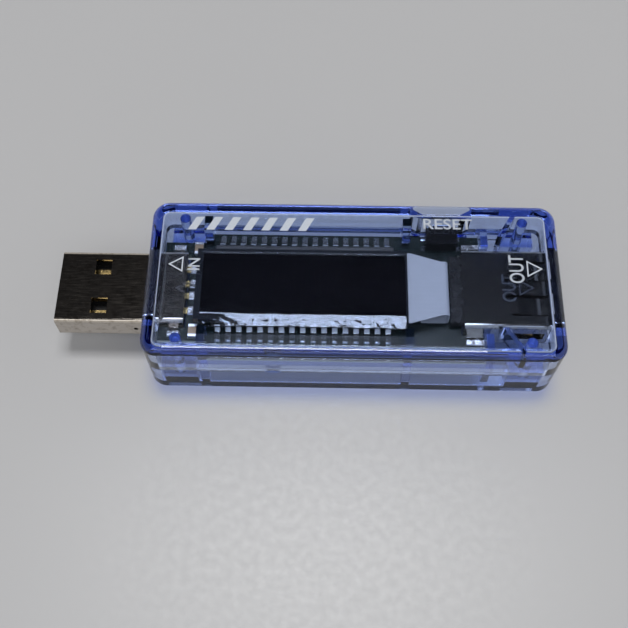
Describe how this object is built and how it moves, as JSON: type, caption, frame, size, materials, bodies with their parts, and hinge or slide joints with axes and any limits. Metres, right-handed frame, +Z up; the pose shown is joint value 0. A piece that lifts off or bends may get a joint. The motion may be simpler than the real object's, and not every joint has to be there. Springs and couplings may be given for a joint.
{
  "type": "usb power meter",
  "caption": "Plug-in USB power meter: clear blue two-part case with a display, a reset button, a USB-A plug at one end and a USB-A socket at the other.",
  "frame": {"origin": "bottom centre of the whole meter's box, plug included, on the surface that it rests on", "axes": "+X along the meter from the plug's tip to the socket's mouth, +Y towards the side with the reset button, +Z up through the display"},
  "size_m": [0.0748, 0.0254, 0.013],
  "materials": {
    "clear_blue_plastic": "clear blue moulded plastic, polished",
    "board_green": "dark green-black solder mask",
    "plated_steel": "nickel-plated sheet steel",
    "gold_contact": "gold flash",
    "black_plastic": "moulded",
    "chip_black": "fine moulded",
    "tinned_lead": "bright tin",
    "solder": "bright solder",
    "display_glass": "dark glass",
    "display_black": "dark polariser",
    "foam_tape": "foam",
    "flex_film": "pale film",
    "clear_film": "clear film",
    "button_plastic": "moulded",
    "spring_steel": "polished",
    "resistor_black": "ceramic",
    "capacitor_tan": "ceramic",
    "tinned_cap": "bright tin",
    "black_steel": "black coated sheet",
    "printed_ink": "pale screen-printed ink"
  },
  "bodies": {
    "meter": {"amplifier_leads": "tinned_lead", "bottom_shell": "clear_blue_plastic", "capacitor_bodies": "capacitor_tan", "capacitor_caps": "tinned_cap", "circuit_board": "board_green", "controller_chip": "chip_black", "controller_leads": "tinned_lead", "current_amplifier": "chip_black", "display_film": "clear_film", "display_flex": "flex_film", "display_front_glass": "display_glass", "display_pad": "foam_tape", "display_polariser": "display_black", "display_rear_glass": "display_glass", "input_capacitor_caps": "tinned_cap", "input_capacitors": "capacitor_tan", "memory_chip": "chip_black", "memory_leads": "tinned_lead", "plug_contact_data_minus": "gold_contact", "plug_contact_data_plus": "gold_contact", "plug_contact_ground": "gold_contact", "plug_contact_vbus": "gold_contact", "plug_insulator": "black_plastic", "plug_shell": "plated_steel", "plug_solder_joints": "solder", "regulator_leads": "tinned_lead", "reset_switch_base": "black_plastic", "reset_switch_dome": "spring_steel", "reset_switch_frame": "black_steel", "reset_switch_terminals": "tinned_lead", "resistor_bodies": "resistor_black", "resistor_caps": "tinned_cap", "shunt_resistor": "resistor_black", "shunt_terminals": "tinned_cap", "socket_contact_data_minus": "gold_contact", "socket_contact_data_plus": "gold_contact", "socket_contact_ground": "gold_contact", "socket_contact_vbus": "gold_contact", "socket_insulator": "black_plastic", "socket_shell": "plated_steel", "socket_solder_joints": "solder", "top_cover": "clear_blue_plastic", "voltage_regulator": "chip_black"},
    "reset_button": {"reset_switch_plunger": "button_plastic"}
  },
  "joints": [
    {"name": "reset_press", "type": "slide", "parent": "meter", "child": "reset_button", "axis": [0, -1, 0], "range_m": [0, 0.00025], "stiffness_N_per_m": 600}
  ]
}
